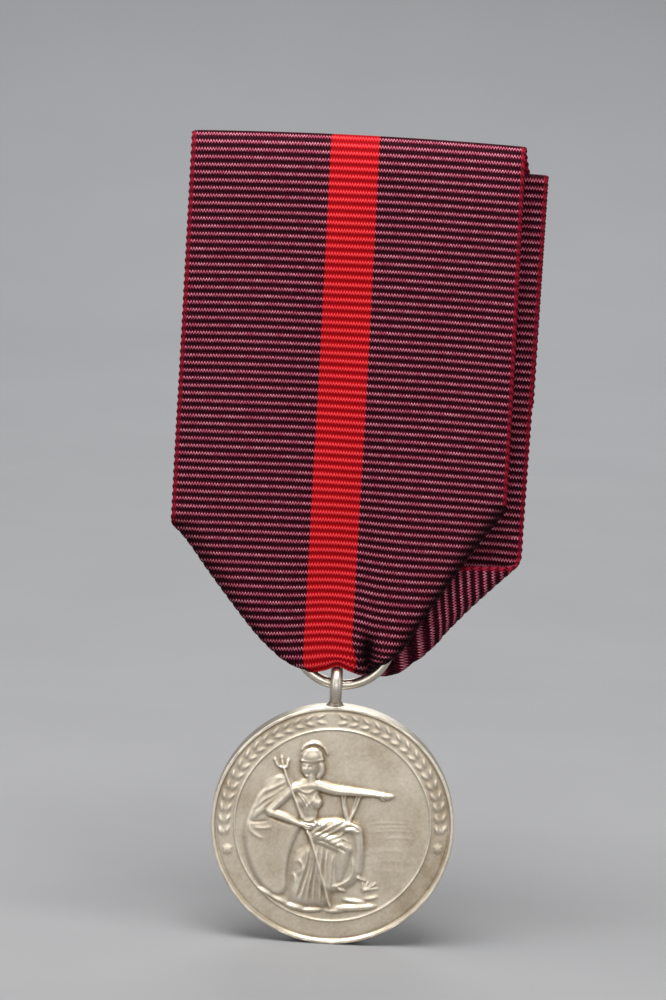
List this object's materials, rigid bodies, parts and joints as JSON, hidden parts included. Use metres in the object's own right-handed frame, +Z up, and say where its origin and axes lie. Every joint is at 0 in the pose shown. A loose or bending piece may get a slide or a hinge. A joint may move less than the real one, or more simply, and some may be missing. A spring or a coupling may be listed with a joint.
{
  "type": "service medal on ribbon",
  "caption": "Round struck silver medal with a soldered suspension loop and jump ring, hung from a folded ribbed silk ribbon with a narrow centre stripe.",
  "frame": {"origin": "top of the ribbon's upper fold, at the middle of its width, where a brooch bar carries the medal", "axes": "+Z up along the ribbon, +X to the viewer's right along the ribbon's width, -Y out of the obverse towards the viewer"},
  "size_m": [0.0404, 0.005, 0.0934],
  "materials": {
    "ribbon_silk": "ribbed silk, dark purple with a narrow red centre stripe and crimson selvedges",
    "ring_silver": "drawn silver wire, polished and lightly worn",
    "disc_silver": "struck silver, toned warm in the recesses and worn bright on the high points",
    "loop_silver": "silver wire, soldered foot, lightly worn"
  },
  "bodies": {
    "ribbon": {"ribbon": "ribbon_silk"},
    "jump_ring": {"jump_ring": "ring_silver"},
    "medal": {"medal_disc": "disc_silver", "suspension_loop": "loop_silver"}
  },
  "joints": [
    {"name": "ring_slide", "type": "slide", "parent": "ribbon", "child": "jump_ring", "axis": [0, 0, -1], "range_m": [0, 0.0071]},
    {"name": "medal_swing", "type": "hinge", "parent": "jump_ring", "child": "medal", "pos_m": [0.00075, 0, -0.06297], "axis": [1, 0, 0], "range_deg": [-90, 90]}
  ]
}
